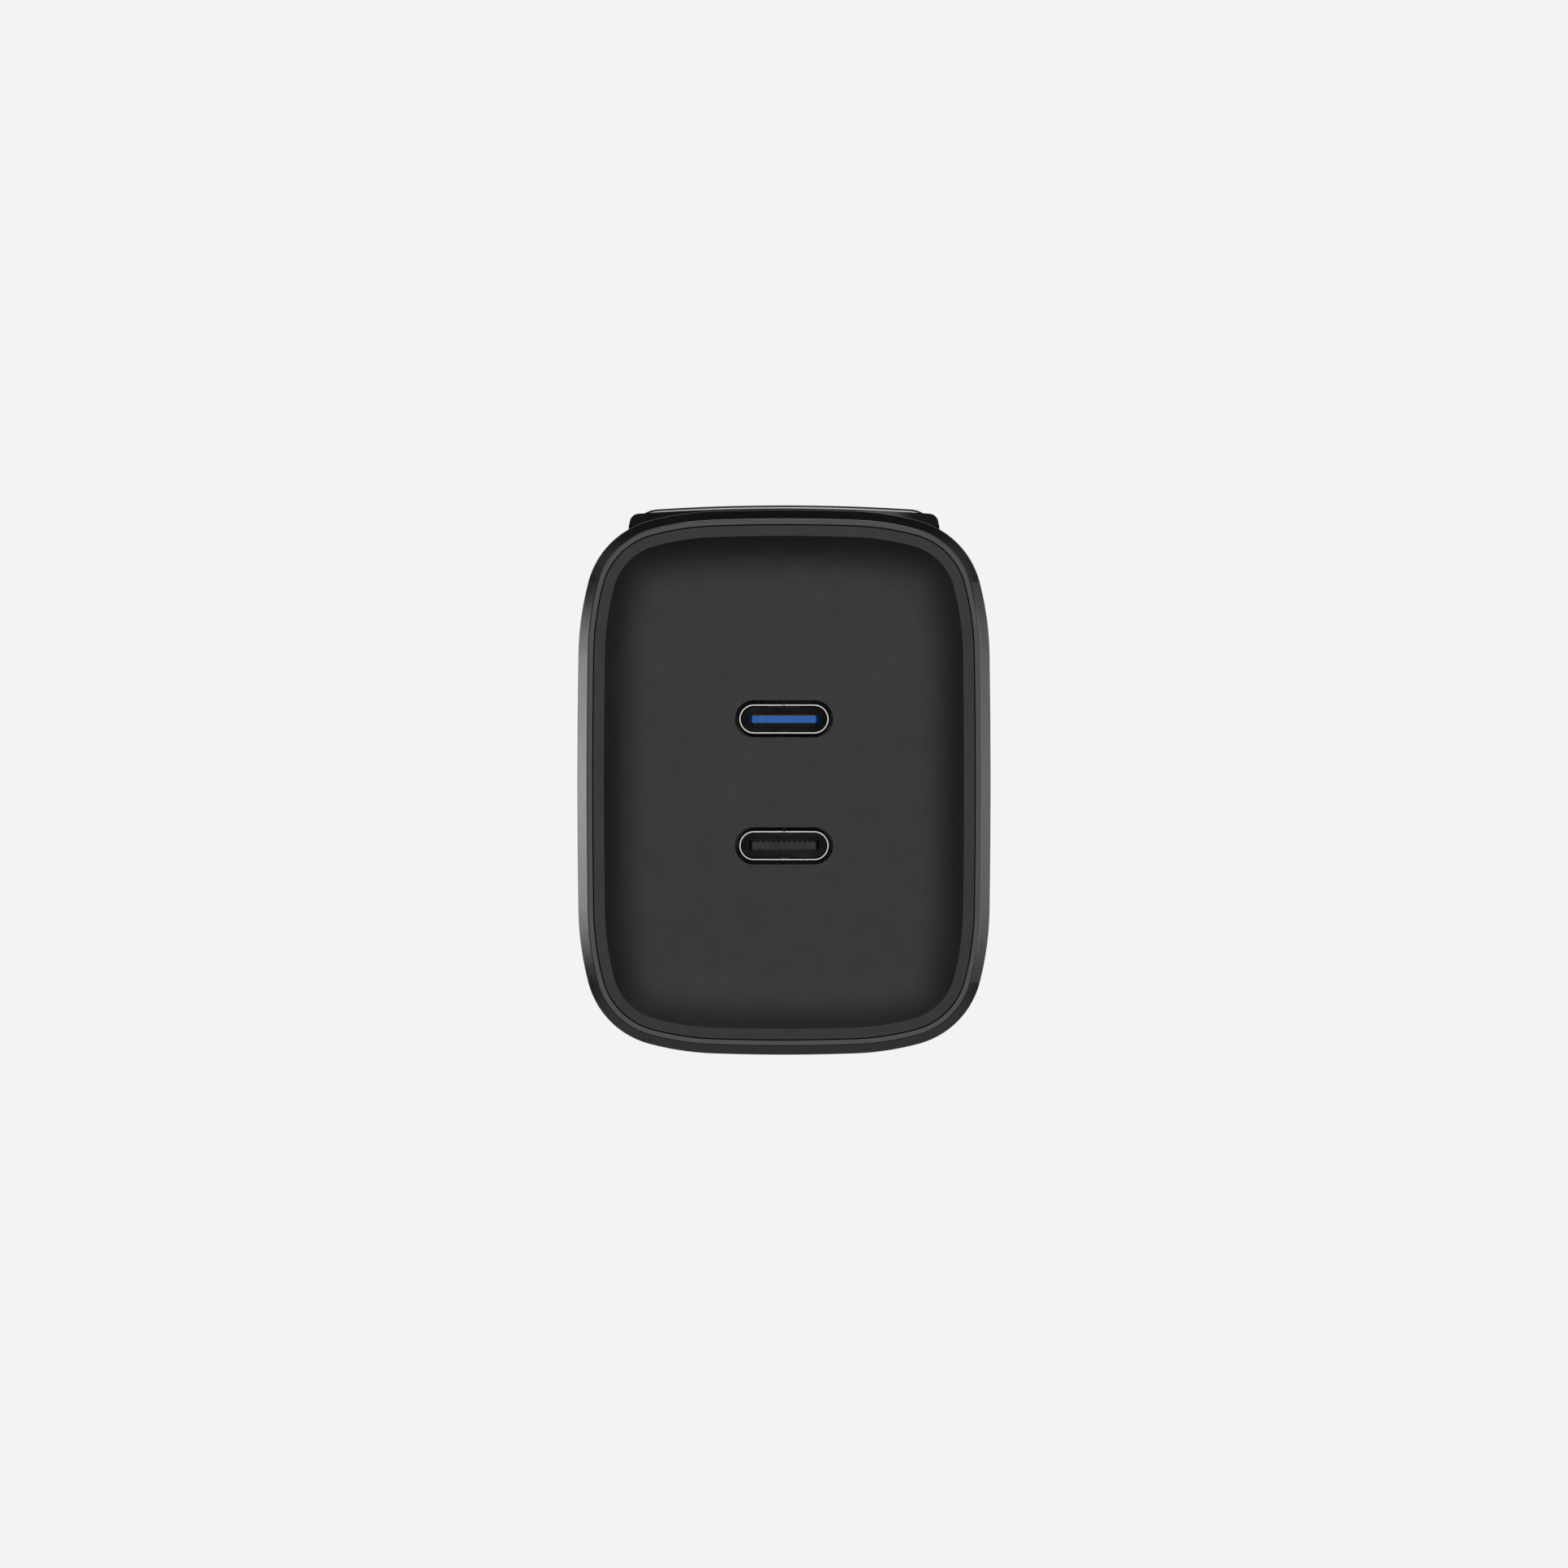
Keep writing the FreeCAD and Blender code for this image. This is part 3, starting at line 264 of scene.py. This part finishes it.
def film_box():
    look = moulded("film_box", (0.5, 0.43, 0.13), 0.42, 0.25 * MM, 0.003 * MM)
    return look.bump(look.noise(1.6 * MM, 2.0), 0.02 * MM, 0.4)


def disc(name, colour, shade):
    """A dipped ceramic disc: wavy glossy epoxy."""
    look = Look(name, colour, 0.3, Coat_Weight=0.5, Coat_Roughness=0.08)
    look.tint(look.noise(1.1 * MM, 3.0), shade, colour)
    look.rough(look.noise(0.6 * MM), 0.22, 0.4)
    return look.bump(look.noise(1.4 * MM, 2.0), 0.06 * MM)


def fuse_body():
    look = Look("fuse_body", (0.42, 0.36, 0.24), 0.4, Coat_Weight=0.3)
    look.tint(look.noise(0.7 * MM, 4.0), (0.34, 0.28, 0.18), (0.47, 0.41, 0.29))
    look.rough(look.noise(0.4 * MM), 0.32, 0.5)
    return look.bump(look.noise(0.2 * MM, 3.0), 0.004 * MM)


def ceramic_tan():
    look = Look("ceramic_tan", (0.33, 0.23, 0.13), 0.5)
    look.tint(look.noise(0.3 * MM, 4.0), (0.25, 0.17, 0.1), (0.4, 0.29, 0.18))
    ends = look.math("GREATER_THAN", look.noise(0.9 * MM, 0.0), 0.62)
    look.over(ends, (0.5, 0.5, 0.49))
    look.rough(look.noise(0.5 * MM), 0.4, 0.6)
    return look.bump(look.noise(0.1 * MM, 3.0), 0.003 * MM)


def film_clear():
    look = Look("film_clear", (0.62, 0.6, 0.52), 0.2, Alpha=0.55)
    look.tint(look.noise(6 * MM, 2.0), (0.56, 0.54, 0.44), (0.7, 0.68, 0.6))
    look.rough(look.noise(1.4 * MM, 3.0), 0.14, 0.3)
    return look.bump(look.noise(3 * MM, 2.0), 0.05 * MM)


LOOKS = {look.name: look.material for look in (
    housing_plastic(), panel_plastic(), dock_plastic(), button_plastic(), plug_plastic(), sleeve_plastic(),
    port_steel(), ferrite(), board_green(), film_box(), fuse_body(), ceramic_tan(), film_clear(),
    tongue("tongue_blue", (0.02, 0.18, 0.62), (0.016, 0.155, 0.55), Metallic=0.35),
    tongue("tongue_grey", (0.02, 0.02, 0.021), (0.015, 0.015, 0.016), Specular_IOR_Level=0.42),
    metal("spring_steel", (0.5, 0.49, 0.47), 0.28, (1, 1, 0.05), 0.12 * MM, 0.001 * MM),
    metal("pin_nickel", NICKEL, 0.2, (0.06, 1, 0.06), 0.18 * MM, 0.0012 * MM),
    metal("contact_copper", COPPER, 0.3, (0.1, 1, 1), 0.15 * MM, 0.001 * MM),
    metal("contact_gold", (0.5, 0.34, 0.12), 0.3, (1, 0.1, 1), 0.08 * MM, 0.0005 * MM),
    metal("pin_brass", (0.78, 0.6, 0.3), 0.28, (1, 0.1, 1), 0.1 * MM, 0.001 * MM),
    metal("capacitor_aluminium", (0.72, 0.72, 0.71), 0.3, (1, 0.1, 1), 0.1 * MM, 0.002 * MM),
    metal("spreader_aluminium", (0.7, 0.7, 0.69), 0.42, (1, 0.08, 1), 0.2 * MM, 0.004 * MM),
    moulded("header_black", (0.02, 0.02, 0.021), 0.5, 0.1 * MM, 0.003 * MM),
    moulded("bobbin_black", (0.018, 0.017, 0.017), 0.46, 0.16 * MM, 0.003 * MM),
    moulded("can_sleeve", (0.02, 0.04, 0.075), 0.26, 0.5 * MM, 0.006 * MM),
    moulded("chip_black", (0.022, 0.022, 0.023), 0.55, 0.08 * MM, 0.004 * MM),
    winding("winding_tape", (0.62, 0.44, 0.06), (0.5, 0.34, 0.04), 1.3 * MM),
    winding("winding_copper", (0.5, 0.18, 0.06), (0.26, 0.08, 0.03), 0.45 * MM),
    disc("disc_blue", (0.03, 0.09, 0.34), (0.02, 0.06, 0.25)),
    disc("disc_red", (0.36, 0.07, 0.02), (0.27, 0.05, 0.02)),
)}

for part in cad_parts.values():
    for held in part.material_slots:
        held.material = LOOKS[held.material.name.split(".")[0]]


# ---------------------------------------------------------------- stage and light
def lit(name, place, aim, size, radiance, fade=(0.0, 0.0)):
    """A soft box of that radiance at its middle, fading to its edges. The camera doesn't see it."""
    data = bpy.data.lights.new(name, "AREA")
    data.shape = "RECTANGLE"
    data.size, data.size_y = size
    data.energy = radiance * math.pi * size[0] * size[1]
    data.use_nodes = True
    tree = data.node_tree
    across = add_node(tree, "NewGeometry").outputs["Parametric"]
    apart = add_node(tree, "SeparateXYZ", {"Vector": across}).outputs
    dims = {}
    for axis in (0, 1):
        off = add_node(tree, "Math", {0: apart[axis], 1: 0.5}, operation="PINGPONG").outputs[0]
        inputs = {"Value": off, "From Max": 0.5, "To Min": 1 - fade[axis]}
        dims[axis] = add_node(tree, "MapRange", inputs).outputs["Result"]
    both = add_node(tree, "Math", dims, operation="MULTIPLY").outputs[0]
    tree.links.new(both, tree.nodes["Emission"].inputs["Strength"])
    lamp = bpy.data.objects.new(name, data)
    lamp.location = place
    lamp.rotation_euler = (aim - Vector(place)).to_track_quat("-Z", "Y").to_euler()
    lamp.visible_camera = False
    bpy.context.collection.objects.link(lamp)


def backdrop():
    """Pale all round for the camera. Everything else sees a dim room with a brighter wall behind."""
    world = bpy.data.worlds.new("studio")
    world.use_nodes = True
    tree = world.node_tree
    tree.nodes.clear()
    direction = add_node(tree, "TexCoord").outputs["Generated"]
    _, back, up = add_node(tree, "SeparateXYZ", {"Vector": direction}).outputs

    def math_node(operation, *values):
        return add_node(tree, "Math", dict(enumerate(values)), operation=operation).outputs[0]

    def between(value, start, end, low, high):
        inputs = {"Value": value, "From Min": start, "From Max": end, "To Min": low, "To Max": high}
        return add_node(tree, "MapRange", inputs, interpolation_type="SMOOTHSTEP").outputs["Result"]

    height = math_node("ABSOLUTE", up)
    wall = math_node("MULTIPLY", between(height, 0.30, 0.46, 0.30, 0), between(back, 0.80, 0.93, 0, 1))
    sides = math_node("MULTIPLY", between(back, -0.6, -0.1, 0.03, 0.30), between(back, 0.4, 0.68, 1, 0.03))
    ground = math_node("MULTIPLY", between(up, -0.5, -0.25, 0.10, 0), between(back, -0.3, 0.2, 0, 1))
    room = math_node("ADD", math_node("ADD", wall, sides), ground)
    seen = add_node(tree, "LightPath").outputs["Is Camera Ray"]
    mix = add_node(tree, "Mix", {0: seen, 6: room, 7: PALE}, data_type="RGBA").outputs[2]
    shade = add_node(tree, "Background", {"Color": mix}).outputs[0]
    add_node(tree, "OutputWorld", {"Surface": shade})
    bpy.context.scene.world = world


def floor():
    """A plain pale floor well below the object, where the front view doesn't reach."""
    bpy.ops.mesh.primitive_plane_add(size=FLOOR_SIZE, location=(0, 0, FLOOR_Z))
    plane = bpy.context.object
    plane.name = "studio_floor"
    look = Look("floor_paint", (0.12, 0.12, 0.12), 0.9)
    look.tint(look.noise(0.4, 2.0), (0.115, 0.115, 0.115), (0.125, 0.125, 0.125))
    look.shader.inputs["Emission Color"].default_value = (0.9, 0.9, 0.9, 1)
    look.shader.inputs["Emission Strength"].default_value = FLOOR_GLOW
    plane.data.materials.append(look.material)
    plane.visible_glossy = False
    plane.visible_diffuse = False


lit("front_box", (0, -1.15, 0.05), FACE, (0.85, 0.85), 1.44)
lit("top_box", (0.05, -0.06, 0.98), Vector((0, -0.06, MIDDLE_Z)), (0.36, 1.5), 11.5, (0.3, 1.0))
lit("left_box", (-0.62, 0.74, MIDDLE_Z), FACE, (0.36, 0.36), 1.38, (0.2, 1.0))
lit("right_box", (0.62, 0.74, MIDDLE_Z), FACE, (0.36, 0.44), 0.48, (0.2, 0.9))
lit("side_box", (0.9, 0.2, MIDDLE_Z), FACE, (1.0, 0.4), 2.5)
lit("key_box", (0.18, -0.65, 0.80), FACE, (0.26, 0.20), 2.4, (0.4, 0.2))
for side, low_radiance in ((-1, 0.60), (1, 0.24)):
    lit(f"rim_box_{side}", (side * 0.85, 0.36, 0.62), BODY, (0.55, 0.55), 2.6, (0.5, 0.5))
    lit(f"low_box_{side}", (side * 0.80, -0.66, -0.32), BODY, (0.60, 0.50), low_radiance, (0.6, 0.6))
backdrop()
floor()


# ---------------------------------------------------------------- camera
eye = bpy.data.cameras.new("front_camera")
eye.sensor_width = CAMERA_SENSOR
eye.lens = CAMERA_LENS
camera = bpy.data.objects.new("front_camera", eye)
camera.location = (0, FRONT_Y - CAMERA_DISTANCE, CAMERA_Z)
camera.rotation_euler = (math.radians(90), 0, 0)
bpy.context.collection.objects.link(camera)
scene = bpy.context.scene
scene.camera = camera
scene.view_settings.view_transform = "Standard"
scene.view_settings.look = "None"
